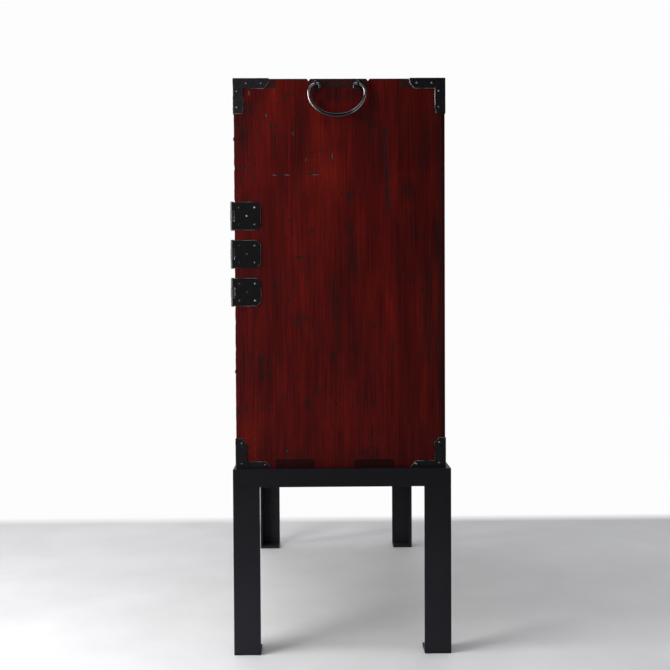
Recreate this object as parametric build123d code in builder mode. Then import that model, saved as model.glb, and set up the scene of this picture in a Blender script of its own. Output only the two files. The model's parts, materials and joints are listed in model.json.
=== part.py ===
from build123d import *
import os
from math import cos, radians, sin, sqrt

os.makedirs("parts", exist_ok=True)

# A Japanese clothing chest with iron mounts, standing on a welded angle-iron stand.
# Millimetres. X runs to the right, the front faces -Y, Z is up and the floor is Z = 0.

# ---- driving sizes ----
chest_width = 909
chest_depth = 424
chest_height = 784
side_thickness = 19
top_thickness = 19
bottom_thickness = 18
back_thickness = 8
shelf_thickness = 18
partition_thickness = 18
middle_rail_thickness = 14
bottom_row_height = 280
middle_row_height = 235
cupboard_width = 280
cupboard_shelf_thickness = 10
cupboard_shelf_setback = 30

# finger joints, measured from the front edge of the side panels
top_tail_front = 85
top_tail_middle = 116
top_finger = 67
bottom_tail_start = 79
bottom_tail = 81
bottom_tail_spacing = 161

# drawers
front_thickness = 18
front_lap = 10
drawer_wall = 11
drawer_floor = 7
drawer_side_drop = 4
drawer_back_space = 14
edge_softening = 1.2
running_gap = 1.0
head_gap = 1.5
seat_gap = 0.3

# bails and their posts
bail_bar = 5.6
bail_belly = 8.8
bail_chamfer = 1.5
belly_flat_count = 6
hook_flat_count = 4
curl_flat_count = 4
bail_curl_radius = 5.2
bail_curl_angle = 140
bail_standoff = 10.5
small_iron_sides = 8
eye_width = 5
eye_radius = 6.5
eye_clearance = 1.3
eye_end_gap = 0.6
post_plate_radius = 9.5
post_plate_thickness = 1.6
post_neck = 7
side_spacing = 85
side_hook_radius = 17
side_drop = 67.5
side_handle_forward = 5
side_pivot_below_top = 12.5
drawer_bail_spacing = 74
drawer_hook_radius = 16
drawer_bail_drop = 54
wide_drawer_bail_offset = 235
small_drawer_bail_offset = 170

# lock plates
lock_plate_thickness = 2
large_lock_plate = 104
small_lock_plate = 80
lock_indent = 12
lock_housing_width = 34
lock_housing_height = 24
lock_housing_depth = 4
lock_housing_bevel = 1
keyhole_radius = 3
keyhole_slot = 9
lock_plate_edge = 8
knob_from_lock = 70
knob_radius = 8
knob_neck = 4
knob_head = 6
knob_bevel = 2
knob_reach = 18

# door and hinges
door_thickness = 18
door_gap = 1.5
door_bevel = 3
leaf_thickness = 1.8
leaf_height = 56
side_leaf_length = 53
door_leaf_length = 74
leaf_clip = 9
side_knuckle_radius = 3.7
door_knuckle_radius = 4.1
door_knuckle_height = 21
knuckle_end_gap = 0.3
knuckle_side_gap = 0.8
knuckle_notch_gap = 0.1
pin_radius = 1.9
pin_clearance = 0.05
pin_head_radius = 3
pin_head_height = 1.2
leaf_to_front_gap = 0.3
hinge_inset = 41

# corner irons
iron_thickness = 1.5
iron_front_margin = 1
top_iron_arm = 71
top_iron_leg = 70
top_iron_band = 20
bottom_iron_arm = 70
bottom_iron_leg = 61
bottom_iron_band = 22
bottom_iron_foot = 14
iron_clip_along = 10
iron_clip_across = 12

# nails
nail_radius = 2.6
nail_height = 1.5
nail_inset = 9
nail_foot_inset = 7
nail_front_inset = 7
nail_back_inset = 12
arm_nails = (26, 56)
leg_nails = (25, 57)
foot_nails = (9, 51)
foot_nail_end = 59
leaf_nail_front = 10
leaf_nail_back = 41
leaf_nail_rise = 17
door_nail_near = 31
door_nail_far = 62

# stand, wider than the chest by a ledge all round
stand_height = 377
stand_side_ledge = 15.5
stand_front_ledge = 6
stand_back_ledge = 10
rail_height = 36
rail_flange = 40
angle_thickness = 5
leg_face = 54
leg_flange = 50
foot_thickness = 6

# ---- where things are ----
stand_width = chest_width + 2 * stand_side_ledge
stand_depth = chest_depth + stand_front_ledge + stand_back_ledge
middle_y = (knob_reach - stand_back_ledge) / 2
front_y = middle_y - chest_depth / 2
back_y = middle_y + chest_depth / 2
panel_depth = chest_depth - back_thickness
side_x = chest_width / 2
inner_x = side_x - side_thickness
chest_z = stand_height
top_z = chest_z + chest_height
inside_top_z = top_z - top_thickness
bottom_row_z = chest_z + bottom_thickness
lower_shelf_z = bottom_row_z + bottom_row_height
middle_row_z = lower_shelf_z + shelf_thickness
upper_shelf_z = middle_row_z + middle_row_height
top_row_z = upper_shelf_z + shelf_thickness
small_row_height = (middle_row_height - middle_rail_thickness) / 2
middle_rail_z = middle_row_z + small_row_height
cupboard_x = inner_x - cupboard_width
partition_x = cupboard_x - partition_thickness

eye_hole = bail_bar / 2 + eye_clearance
leaf_back_y = front_y - leaf_to_front_gap
hinge_y = leaf_back_y - door_knuckle_radius
hinge_x = side_x + leaf_thickness - side_knuckle_radius
hinge_heights = [
    upper_shelf_z - hinge_inset,
    middle_row_z + middle_row_height / 2,
    middle_row_z + hinge_inset,
]

front_face = Plane(origin=(0, front_y, 0), x_dir=(1, 0, 0), z_dir=(0, -1, 0))
back_face = Plane(origin=(0, back_y, 0), x_dir=(-1, 0, 0), z_dir=(0, 1, 0))
right_face = Plane(origin=(side_x, 0, 0), x_dir=(0, 1, 0), z_dir=(1, 0, 0))
left_face = Plane(origin=(-side_x, 0, 0), x_dir=(0, -1, 0), z_dir=(-1, 0, 0))


def save(name, *pieces):
    # pieces that only touch stay separate solids of one node
    if len(pieces) == 1:
        node = pieces[0].part
    else:
        node = Compound(children=[piece.part for piece in pieces])
    node.label = name
    export_step(node, f"parts/{name}.step")


def board(name, x, y, z):
    # a plain board between two X, two Y and two Z positions
    with BuildPart() as piece:
        with BuildSketch(Plane.XY.offset(z[0])):
            with Locations(((x[0] + x[1]) / 2, (y[0] + y[1]) / 2)):
                Rectangle(x[1] - x[0], y[1] - y[0])
        extrude(amount=z[1] - z[0])
    save(name, piece)


# ---- carcass ----
def side_panel(name, plane):
    # the notches between its fingers run from front to back, whichever way the plane's X points
    toward_back = plane.x_dir.Y
    top_notches = [
        (0, top_tail_front),
        (top_tail_front + top_finger, top_tail_middle),
        (top_tail_front + top_tail_middle + 2 * top_finger, chest_depth),
    ]
    bottom_notches = [
        (bottom_tail_start, bottom_tail),
        (bottom_tail_start + bottom_tail_spacing, bottom_tail),
    ]
    with BuildPart() as piece:
        with BuildSketch(plane):
            with Locations((toward_back * (front_y + panel_depth / 2), chest_z + chest_height / 2)):
                Rectangle(panel_depth, chest_height)
            for start, length in top_notches:
                with Locations((toward_back * (front_y + start + length / 2), top_z)):
                    Rectangle(length, 2 * top_thickness, mode=Mode.SUBTRACT)
            for start, length in bottom_notches:
                with Locations((toward_back * (front_y + start + length / 2), chest_z)):
                    Rectangle(length, 2 * bottom_thickness, mode=Mode.SUBTRACT)
        extrude(amount=-side_thickness)
    save(name, piece)


side_panel("side_panel_right", right_face)
side_panel("side_panel_left", left_face)

with BuildPart() as top_board:
    with BuildSketch(Plane.XY.offset(inside_top_z)):
        with Locations((0, middle_y)):
            Rectangle(chest_width, chest_depth)
        for start in (top_tail_front, top_tail_front + top_finger + top_tail_middle):
            finger_y = front_y + start + top_finger / 2
            with Locations((side_x, finger_y), (-side_x, finger_y)):
                Rectangle(2 * side_thickness, top_finger, mode=Mode.SUBTRACT)
    extrude(amount=top_thickness)
save("top_board", top_board)

with BuildPart() as bottom_board:
    with BuildSketch(Plane.XY.offset(chest_z)):
        with Locations((0, front_y + panel_depth / 2)):
            Rectangle(2 * inner_x, panel_depth)
        for start in (bottom_tail_start, bottom_tail_start + bottom_tail_spacing):
            with Locations((0, front_y + start + bottom_tail / 2)):
                Rectangle(chest_width, bottom_tail)
    extrude(amount=bottom_thickness)
save("bottom_board", bottom_board)

panel_y = (front_y, front_y + panel_depth)
full_x = (-inner_x, inner_x)
board("back_panel", (-side_x, side_x), (panel_y[1], back_y), (chest_z, inside_top_z))
board("lower_shelf", full_x, panel_y, (lower_shelf_z, middle_row_z))
board("upper_shelf", full_x, panel_y, (upper_shelf_z, top_row_z))
board("partition", (partition_x, cupboard_x), panel_y, (middle_row_z, upper_shelf_z))
board(
    "middle_rail",
    (-inner_x, partition_x),
    panel_y,
    (middle_rail_z, middle_rail_z + middle_rail_thickness),
)
cupboard_shelf_z = middle_row_z + (middle_row_height - cupboard_shelf_thickness) / 2
board(
    "cupboard_shelf",
    (cupboard_x, inner_x),
    (front_y + cupboard_shelf_setback, panel_y[1]),
    (cupboard_shelf_z, cupboard_shelf_z + cupboard_shelf_thickness),
)


# ---- bails, posts and lock plates ----
def bend(middle, across, down, start, end, flats):
    # the corners of a hammered bend: points on an ellipse, with angles from the right-hand side
    step = (end - start) / flats
    angles = [radians(start + step * i) for i in range(flats + 1)]
    return [(middle[0] + across * cos(angle), middle[1] + down * sin(angle)) for angle in angles]


def bail_edge(arm, hook_radius, belly_depth, offset, belly_growth):
    # one long edge of half a bail, from the bottom of the belly to the end of the curl
    belly = bend((0, -hook_radius), arm + offset, belly_depth + belly_growth, -90, 0, belly_flat_count)
    bend_x = arm - hook_radius
    bend_radius = hook_radius + offset
    hook = bend((bend_x, -hook_radius), bend_radius, bend_radius, 0, 90, hook_flat_count)
    curl_radius = bail_curl_radius + offset
    curl_end = 90 + bail_curl_angle
    curl = bend((bend_x, -bail_curl_radius), curl_radius, curl_radius, 90, curl_end, curl_flat_count)
    return belly + hook[1:] + curl[1:]


def bail(name, face, across, pivot_z, spacing, hook_radius, drop):
    # a forged handle that hangs in two eyes: bracken-curl ends, slim arms and a thicker belly
    # its hooks are bends, so it hangs half a bend's sag above the middle of the eyes
    sag = hook_radius - sqrt(hook_radius**2 - (eye_width + eye_end_gap) ** 2)
    middle = face.from_local_coords((across, pivot_z + sag / 2, bail_standoff))
    plane = Plane(origin=middle, x_dir=face.x_dir, z_dir=face.z_dir)
    arm = spacing / 2 - eye_width / 2 - eye_end_gap + hook_radius
    outside = bail_edge(arm, hook_radius, drop - hook_radius, bail_bar / 2, 0)
    inside = bail_edge(arm, hook_radius, drop - hook_radius, -bail_bar / 2, -bail_belly)
    with BuildPart() as piece:
        with BuildSketch(plane.offset(-bail_bar / 2)):
            with BuildLine():
                Polyline(*outside, *reversed(inside), close=True)
            make_face()
            mirror(about=Plane.YZ)
        extrude(amount=bail_bar)
        chamfer(piece.faces().filter_by(plane).edges(), bail_chamfer)
    save(name, piece)


def add_posts(face, across, height, spacing):
    # two eyes on eight-sided plates, side by side
    places = [(across - spacing / 2, height), (across + spacing / 2, height)]
    with BuildSketch(face) as plates:
        with Locations(*places):
            RegularPolygon(post_plate_radius, small_iron_sides, major_radius=False)
    extrude(plates.sketch, amount=post_plate_thickness)
    for place in places:
        eye = face.from_local_coords((place[0], place[1], bail_standoff))
        neck = bail_standoff - post_plate_thickness
        ring_plane = Plane(origin=eye, x_dir=face.z_dir, z_dir=face.x_dir).offset(-eye_width / 2)
        with BuildSketch(ring_plane) as ring:
            RegularPolygon(eye_radius, small_iron_sides, major_radius=False)
            with Locations((-neck / 2, 0)):
                Rectangle(neck, post_neck)
            RegularPolygon(eye_hole, small_iron_sides, major_radius=False, mode=Mode.SUBTRACT)
        extrude(ring.sketch, amount=eye_width)


def lock_plate(name, face, across, height, size):
    # a square plate with indented corners, the lock's raised housing and its keyhole
    with BuildPart() as piece:
        with BuildSketch(face):
            with Locations((across, height)):
                Rectangle(size, size)
                with GridLocations(size, size, 2, 2):
                    Rectangle(2 * lock_indent, 2 * lock_indent, mode=Mode.SUBTRACT)
        extrude(amount=lock_plate_thickness)
        with BuildSketch(face.offset(lock_plate_thickness)):
            with Locations((across, height)):
                Rectangle(lock_housing_width, lock_housing_height)
        extrude(amount=lock_housing_depth)
        chamfer(piece.faces().sort_by(Axis.Y)[0].edges(), lock_housing_bevel)
        with BuildSketch(face.offset(lock_plate_thickness)):
            with Locations((across, height)):
                Circle(keyhole_radius)
            with Locations((across, height - keyhole_slot / 2)):
                Rectangle(keyhole_radius, keyhole_slot)
        extrude(amount=lock_housing_depth, mode=Mode.SUBTRACT)
    save(name, piece)


# ---- drawers ----
def drawer(name, x, z, bail_offset, lock_size):
    # a front with lapped ends, a box of four boards, a lock plate and a pair of bails
    left = x[0] + running_gap
    right = x[1] - running_gap
    bottom = z[0] + seat_gap
    top = z[1] - head_gap
    middle_x = (left + right) / 2
    middle_z = (bottom + top) / 2
    lap_y = front_y + front_thickness - front_lap
    behind_front = front_y + front_thickness
    box_back = panel_y[1] - drawer_back_space
    wall_top = top - drawer_side_drop
    wall_places = (left + drawer_wall / 2, right - drawer_wall / 2)

    with BuildPart() as front:
        with BuildSketch(Plane.XY.offset(bottom)):
            with Locations((middle_x, front_y + front_thickness / 2)):
                Rectangle(right - left, front_thickness)
            for place in wall_places:
                with Locations((place, behind_front)):
                    Rectangle(drawer_wall, 2 * front_lap, mode=Mode.SUBTRACT)
        extrude(amount=top - bottom)
        chamfer(front.faces().sort_by(Axis.Y)[0].edges(), edge_softening)
    save(f"{name}_front", front)

    with BuildPart() as floor:
        with BuildSketch(Plane.XY.offset(bottom)):
            with Locations((middle_x, (behind_front + box_back) / 2)):
                Rectangle(right - left, box_back - behind_front)
        extrude(amount=drawer_floor)
    with BuildPart() as walls:
        with BuildSketch(Plane.XY.offset(bottom + drawer_floor)):
            for place in wall_places:
                with Locations((place, (lap_y + box_back) / 2)):
                    Rectangle(drawer_wall, box_back - lap_y)
        extrude(amount=wall_top - bottom - drawer_floor)
    with BuildPart() as rear:
        with BuildSketch(Plane.XY.offset(bottom + drawer_floor)):
            with Locations((middle_x, box_back - drawer_wall / 2)):
                Rectangle(right - left - 2 * drawer_wall, drawer_wall)
        extrude(amount=wall_top - bottom - drawer_floor)
    save(f"{name}_box", floor, walls, rear)

    pivot_z = middle_z + drawer_bail_drop / 2
    lock_plate(f"{name}_lock_plate", front_face, middle_x, middle_z, lock_size)
    with BuildPart() as posts:
        add_posts(front_face, middle_x - bail_offset, pivot_z, drawer_bail_spacing)
        add_posts(front_face, middle_x + bail_offset, pivot_z, drawer_bail_spacing)
    save(f"{name}_bail_posts", posts)
    for side, offset in (("left", -bail_offset), ("right", bail_offset)):
        bail(
            f"{name}_bail_{side}",
            front_face,
            middle_x + offset,
            pivot_z,
            drawer_bail_spacing,
            drawer_hook_radius,
            drawer_bail_drop,
        )
    print(name, "opening x", x, "z", z)
    print("    bails at x", middle_x - bail_offset, middle_x + bail_offset, "z", pivot_z)


small_x = (-inner_x, partition_x)
top_row = (top_row_z, inside_top_z)
upper_left = (middle_rail_z + middle_rail_thickness, upper_shelf_z)
lower_left = (middle_row_z, middle_rail_z)
bottom_row = (bottom_row_z, lower_shelf_z)
drawer("top_drawer", full_x, top_row, wide_drawer_bail_offset, large_lock_plate)
drawer("upper_left_drawer", small_x, upper_left, small_drawer_bail_offset, small_lock_plate)
drawer("lower_left_drawer", small_x, lower_left, small_drawer_bail_offset, small_lock_plate)
drawer("bottom_drawer", full_x, bottom_row, wide_drawer_bail_offset, large_lock_plate)

# ---- side handles ----
side_pivot_z = top_z - side_pivot_below_top
handle_y = middle_y - side_handle_forward
bail("side_handle_right", right_face, handle_y, side_pivot_z, side_spacing, side_hook_radius, side_drop)
bail("side_handle_left", left_face, -handle_y, side_pivot_z, side_spacing, side_hook_radius, side_drop)
with BuildPart() as side_posts:
    add_posts(right_face, handle_y, side_pivot_z, side_spacing)
    add_posts(left_face, -handle_y, side_pivot_z, side_spacing)
save("side_handle_posts", side_posts)

# ---- door ----
door_left = cupboard_x + door_gap
door_right = inner_x - door_gap
door_middle_x = (door_left + door_right) / 2
door_middle_z = middle_row_z + middle_row_height / 2
door_face = front_face.offset(leaf_to_front_gap)
with BuildPart() as door_panel:
    with BuildSketch(door_face):
        with Locations((door_middle_x, door_middle_z)):
            Rectangle(door_right - door_left, middle_row_height - 2 * door_gap)
    extrude(amount=-door_thickness)
    chamfer(door_panel.faces().sort_by(Axis.Y)[-1].edges(), door_bevel)
save("door_panel", door_panel)

lock_x = door_left + small_lock_plate / 2 + lock_plate_edge
lock_plate("door_lock_plate", door_face, lock_x, door_middle_z, small_lock_plate)

with BuildPart() as door_knob:
    with BuildSketch(door_face):
        with Locations((lock_x + knob_from_lock, door_middle_z)):
            RegularPolygon(knob_neck, small_iron_sides)
    extrude(amount=knob_reach - knob_head)
    with BuildSketch(door_face.offset(knob_reach - knob_head)):
        with Locations((lock_x + knob_from_lock, door_middle_z)):
            RegularPolygon(knob_radius, small_iron_sides)
    extrude(amount=knob_head)
    chamfer(door_knob.faces().sort_by(Axis.Y)[0].edges(), knob_bevel)
save("door_knob", door_knob)


# ---- hinges ----
def add_knuckle(radius, start, end):
    with BuildSketch(Plane.XY.offset(start)) as barrel:
        with Locations((hinge_x, hinge_y)):
            Circle(radius)
    extrude(barrel.sketch, amount=end - start)


def drill_for_pin(start, end):
    with BuildSketch(Plane.XY.offset(start)) as bore:
        with Locations((hinge_x, hinge_y)):
            Circle(pin_radius + pin_clearance)
    extrude(bore.sketch, amount=end - start, mode=Mode.SUBTRACT)


with BuildPart() as side_leaves:
    # nailed flat on the side panel, two knuckles of each rolled over the front edge
    for height in hinge_heights:
        low = height - leaf_height / 2
        high = height + leaf_height / 2
        back = front_y + side_leaf_length
        notch = door_knuckle_height / 2 + knuckle_end_gap
        with BuildSketch(right_face):
            with BuildLine():
                Polyline(
                    (hinge_y, low),
                    (back - leaf_clip, low),
                    (back, low + leaf_clip),
                    (back, high - leaf_clip),
                    (back - leaf_clip, high),
                    (hinge_y, high),
                    close=True,
                )
            make_face()
            with Locations((hinge_y, height)):
                Rectangle(2 * (door_knuckle_radius + knuckle_notch_gap), 2 * notch, mode=Mode.SUBTRACT)
        extrude(amount=leaf_thickness)
        add_knuckle(side_knuckle_radius, low, height - notch)
        add_knuckle(side_knuckle_radius, height + notch, high)
        drill_for_pin(low, high)
save("hinge_side_leaves", side_leaves)

with BuildPart() as door_leaves:
    for height in hinge_heights:
        low = height - leaf_height / 2
        high = height + leaf_height / 2
        tip = side_x - door_leaf_length
        root = hinge_x - side_knuckle_radius - knuckle_side_gap
        with BuildSketch(door_face):
            with BuildLine():
                Polyline(
                    (root, low),
                    (tip + leaf_clip, low),
                    (tip, low + leaf_clip),
                    (tip, high - leaf_clip),
                    (tip + leaf_clip, high),
                    (root, high),
                    close=True,
                )
            make_face()
            with Locations(((root + hinge_x) / 2, height)):
                Rectangle(hinge_x - root, door_knuckle_height)
        extrude(amount=leaf_thickness)
        add_knuckle(door_knuckle_radius, height - door_knuckle_height / 2, height + door_knuckle_height / 2)
        drill_for_pin(low, high)
save("hinge_door_leaves", door_leaves)

with BuildPart() as hinge_pins:
    for height in hinge_heights:
        low = height - leaf_height / 2
        high = height + leaf_height / 2
        add_knuckle(pin_radius, low, high)
        for start in (low - pin_head_height, high):
            with BuildSketch(Plane.XY.offset(start)):
                with Locations((hinge_x, hinge_y)):
                    RegularPolygon(pin_head_radius, small_iron_sides)
            extrude(amount=pin_head_height)
save("hinge_pins", hinge_pins)


# ---- corner irons ----
def arm_outline(arm, band, leg, leg_width, wrap):
    # an L with clipped ends, drawn from its corner; wrap carries it past that corner, round the edge
    with BuildLine() as edge:
        Polyline(
            (-iron_thickness, -wrap),
            (arm, -wrap),
            (arm, band - iron_clip_across),
            (arm - iron_clip_along, band),
            (leg_width, band),
            (leg_width, leg - iron_clip_along),
            (leg_width - iron_clip_across, leg),
            (-iron_thickness, leg),
            close=True,
        )
    make_face(edge.edges())


def corner_irons(name, corner_y, inward, corner_z, upward, arm, band, leg, leg_width, foot):
    # inward and upward are 1 or -1; each iron is a solid L on two faces, cut back to a skin by the chest
    wrap = iron_thickness if upward < 0 else 0
    turned = inward * upward
    side_plane = Plane(
        origin=(side_x - foot, corner_y, corner_z), x_dir=(0, inward, 0), z_dir=(turned, 0, 0)
    )
    face_plane = Plane(
        origin=(side_x, corner_y + inward * foot, corner_z), x_dir=(-1, 0, 0), z_dir=(0, upward, 0)
    )
    with BuildPart() as iron:
        with BuildSketch(side_plane):
            arm_outline(arm, band, leg, leg_width, wrap)
        extrude(amount=turned * (foot + iron_thickness))
        with BuildSketch(face_plane):
            arm_outline(arm, foot, leg, side_thickness - iron_front_margin, wrap)
        extrude(amount=-turned * (foot + iron_thickness))
        with BuildSketch(Plane.XY.offset(chest_z)):
            with Locations((0, middle_y)):
                Rectangle(chest_width, chest_depth)
        extrude(amount=chest_height, mode=Mode.SUBTRACT)
        mirror(about=Plane.YZ)
    save(name, iron)


top_iron = (top_iron_arm, top_iron_band, top_iron_leg, top_iron_band, top_thickness - iron_front_margin)
bottom_iron = (bottom_iron_arm, bottom_iron_foot, bottom_iron_leg, bottom_iron_band, bottom_iron_foot)
corner_irons("corner_irons_top_front", front_y, 1, top_z, -1, *top_iron)
corner_irons("corner_irons_top_back", back_y, -1, top_z, -1, *top_iron)
corner_irons("corner_irons_bottom_front", front_y, 1, chest_z, 1, *bottom_iron)
corner_irons("corner_irons_bottom_back", back_y, -1, chest_z, 1, *bottom_iron)


# ---- nails ----
def add_nails(face, places):
    # low eight-sided heads
    with BuildSketch(face) as heads:
        with Locations(*places):
            RegularPolygon(nail_radius, small_iron_sides)
    extrude(heads.sketch, amount=nail_height)


def top_nails(corner, inward, leg_inset, arm_places, leg_places):
    # along the arm and down the leg of an iron at the top corner
    on_arm = [(corner + inward * place, top_z - nail_inset) for place in arm_places]
    on_leg = [(corner + inward * leg_inset, top_z - place) for place in leg_places]
    return on_arm + on_leg


def bottom_nails(corner, inward, leg_inset, leg_places):
    # one near the end of the foot, the rest up the leg of an iron at the bottom corner
    on_foot = [(corner + inward * foot_nail_end, chest_z + nail_foot_inset)]
    on_leg = [(corner + inward * leg_inset, chest_z + place) for place in leg_places]
    return on_foot + on_leg


with BuildPart() as nails:
    on_side = right_face.offset(iron_thickness)
    for corner, inward, leg_inset in ((front_y, 1, nail_front_inset), (back_y, -1, nail_back_inset)):
        add_nails(on_side, top_nails(corner, inward, leg_inset, arm_nails, leg_nails))
        add_nails(on_side, bottom_nails(corner, inward, nail_back_inset, foot_nails))
    for face, corner, inward in ((front_face, side_x, -1), (back_face, -side_x, 1)):
        on_iron = face.offset(iron_thickness)
        add_nails(on_iron, top_nails(corner, inward, nail_inset, arm_nails[1:], leg_nails[1:]))
        add_nails(on_iron, bottom_nails(corner, inward, nail_inset, foot_nails[1:]))
    mirror(about=Plane.YZ)
    for height in hinge_heights:
        middle = front_y + (leaf_nail_front + leaf_nail_back) / 2
        corners = [
            (front_y + place, height + rise)
            for place in (leaf_nail_front, leaf_nail_back)
            for rise in (-leaf_nail_rise, leaf_nail_rise)
        ]
        add_nails(right_face.offset(leaf_thickness), corners + [(middle, height)])
save("nails", nails)

with BuildPart() as door_nails:
    for height in hinge_heights:
        corners = [
            (side_x - place, height + rise)
            for place in (door_nail_near, door_nail_far)
            for rise in (-leaf_nail_rise, leaf_nail_rise)
        ]
        add_nails(door_face.offset(leaf_thickness), corners)
save("door_nails", door_nails)

# ---- stand ----
stand_x = stand_width / 2
stand_front = front_y - stand_front_ledge
stand_back = back_y + stand_back_ledge
stand_y = (stand_front + stand_back) / 2
stand_middle = Plane(origin=(0, stand_y, 0), z_dir=(0, 1, 0))


def leg(name, corner_x, corner_y):
    # an angle with its outer corner at the corner of the stand
    inward_x = -1 if corner_x > 0 else 1
    inward_y = 1 if corner_y < stand_y else -1
    hollow_x = corner_x + inward_x * (leg_flange + angle_thickness) / 2
    hollow_y = corner_y + inward_y * (leg_face + angle_thickness) / 2
    with BuildPart() as angle:
        with BuildSketch(Plane.XY.offset(foot_thickness)):
            with Locations((corner_x + inward_x * leg_flange / 2, corner_y + inward_y * leg_face / 2)):
                Rectangle(leg_flange, leg_face)
            with Locations((hollow_x, hollow_y)):
                Rectangle(leg_flange - angle_thickness, leg_face - angle_thickness, mode=Mode.SUBTRACT)
        extrude(amount=stand_height - rail_height - foot_thickness)
    save(name, angle)


corners = {
    "front_left": (-stand_x, stand_front),
    "front_right": (stand_x, stand_front),
    "back_left": (-stand_x, stand_back),
    "back_right": (stand_x, stand_back),
}
for name, corner in corners.items():
    leg(f"stand_leg_{name}", *corner)

with BuildPart() as stand_feet:
    with BuildSketch(Plane.XY):
        with Locations((0, stand_y)):
            with GridLocations(stand_width - leg_flange, stand_depth - leg_face, 2, 2):
                Rectangle(leg_flange, leg_face)
    extrude(amount=foot_thickness)
save("stand_feet", stand_feet)


def rail_profile(outer, outward):
    # an angle lying with one flange down the outside and one level under the chest
    hollow = outer - outward * (rail_flange + angle_thickness) / 2
    hollow_z = stand_height - (rail_height + angle_thickness) / 2
    with Locations((outer - outward * rail_flange / 2, stand_height - rail_height / 2)):
        Rectangle(rail_flange, rail_height)
    with Locations((hollow, hollow_z)):
        Rectangle(rail_flange - angle_thickness, rail_height - angle_thickness, mode=Mode.SUBTRACT)


with BuildPart() as side_rails:
    with BuildSketch(Plane(origin=(0, stand_y, 0), x_dir=(1, 0, 0), z_dir=(0, -1, 0))):
        rail_profile(stand_x, 1)
    extrude(amount=stand_depth / 2, both=True)
    split(bisect_by=Plane(origin=(stand_x, stand_front, 0), z_dir=(1, 1, 0)))
    split(bisect_by=Plane(origin=(stand_x, stand_back, 0), z_dir=(1, -1, 0)))
    mirror(about=Plane.YZ)
save("stand_side_rails", side_rails)

with BuildPart() as long_rails:
    with BuildSketch(Plane.YZ):
        rail_profile(stand_front, -1)
    extrude(amount=stand_width / 2, both=True)
    split(bisect_by=Plane(origin=(stand_x, stand_front, 0), z_dir=(-1, -1, 0)))
    split(bisect_by=Plane(origin=(-stand_x, stand_front, 0), z_dir=(1, -1, 0)))
    mirror(about=stand_middle)
save("stand_long_rails", long_rails)

print("hinge axis", hinge_x, hinge_y, "heights", hinge_heights)
print("side handle pivots at y", handle_y, "z", side_pivot_z, "x", side_x + bail_standoff)
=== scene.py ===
import bpy
import json
import random
from math import cos, radians, sin, tan
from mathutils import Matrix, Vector


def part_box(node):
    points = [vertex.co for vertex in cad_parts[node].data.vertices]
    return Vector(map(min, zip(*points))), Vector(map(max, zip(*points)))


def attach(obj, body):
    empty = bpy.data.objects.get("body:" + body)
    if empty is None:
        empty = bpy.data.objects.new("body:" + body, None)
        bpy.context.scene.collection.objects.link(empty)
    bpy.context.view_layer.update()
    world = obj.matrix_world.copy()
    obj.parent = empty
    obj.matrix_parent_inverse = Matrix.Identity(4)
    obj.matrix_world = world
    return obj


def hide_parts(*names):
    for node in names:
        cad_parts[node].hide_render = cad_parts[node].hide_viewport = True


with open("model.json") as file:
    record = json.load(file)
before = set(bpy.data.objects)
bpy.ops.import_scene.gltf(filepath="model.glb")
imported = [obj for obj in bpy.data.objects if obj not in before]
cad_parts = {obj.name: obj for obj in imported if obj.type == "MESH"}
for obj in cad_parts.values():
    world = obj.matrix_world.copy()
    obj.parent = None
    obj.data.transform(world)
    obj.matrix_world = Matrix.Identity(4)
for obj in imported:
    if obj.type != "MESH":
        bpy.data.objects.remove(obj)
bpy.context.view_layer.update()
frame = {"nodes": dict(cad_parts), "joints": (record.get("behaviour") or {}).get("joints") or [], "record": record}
nodes = frame["nodes"]
bodies = frame["record"]["behaviour"]["bodies"]
bodyOf = {node: body for body, members in bodies.items() for node in members}
pivots = {joint["child"]: joint["pos_m"] for joint in frame["joints"] if "pos_m" in joint}
drawerNames = ["top_drawer", "upper_left_drawer", "lower_left_drawer", "bottom_drawer"]
closeBy = 0.0001  # metres, for points on one line
merged = {"forged": 0.000001, "packed": 0.00001}  # metres between points that are one
flatWithin = 0.5  # degrees between the triangles of one face
facing = 0.9  # how far a normal lies along an axis where a face looks squarely that way
leaning = 0.7  # where it leans that way
tilted = 0.5  # and where it is at least the rounding of that side
print("frame loaded,", len(nodes), "nodes")


# small helpers, used all the way down
def pick(piece):
    bpy.ops.object.select_all(action='DESELECT')
    piece.select_set(True)
    bpy.context.view_layer.objects.active = piece


def applyAll(piece):  # place, turn and size go into the mesh
    pick(piece)
    bpy.ops.object.transform_apply(location=True, rotation=True, scale=True)


def rename(piece, name):
    piece.name = name
    piece.data.name = name
    return piece


def paint(piece, *materials):
    piece.data.materials.clear()
    for material in materials:
        piece.data.materials.append(material)


def cleanNormals(piece):
    pick(piece)
    bpy.ops.object.mode_set(mode='EDIT')
    bpy.ops.mesh.select_all(action='SELECT')
    bpy.ops.mesh.remove_doubles(threshold=merged["forged"])
    bpy.ops.mesh.normals_make_consistent(inside=False)
    bpy.ops.object.mode_set(mode='OBJECT')


def selectFaces(piece, test):  # by their normals, and left in edit mode
    pick(piece)
    bpy.ops.object.mode_set(mode='EDIT')
    bpy.ops.mesh.select_mode(type='FACE')
    bpy.ops.mesh.select_all(action='DESELECT')
    bpy.ops.object.mode_set(mode='OBJECT')
    for face in piece.data.polygons:
        face.select = test(face.normal)
    bpy.ops.object.mode_set(mode='EDIT')


def joinPieces(pieces, name):
    bpy.ops.object.select_all(action='DESELECT')
    for piece in pieces:
        piece.select_set(True)
    bpy.context.view_layer.objects.active = pieces[0]
    bpy.ops.object.join()
    return rename(bpy.context.object, name)


def placeCopy(model, name, place, turn=(0, 0, 0)):
    pick(model)
    bpy.ops.object.duplicate()
    piece = rename(bpy.context.object, name)
    piece.rotation_euler = turn
    piece.location = place
    applyAll(piece)
    return piece


def dropModel(model):
    bpy.data.objects.remove(model)


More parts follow.
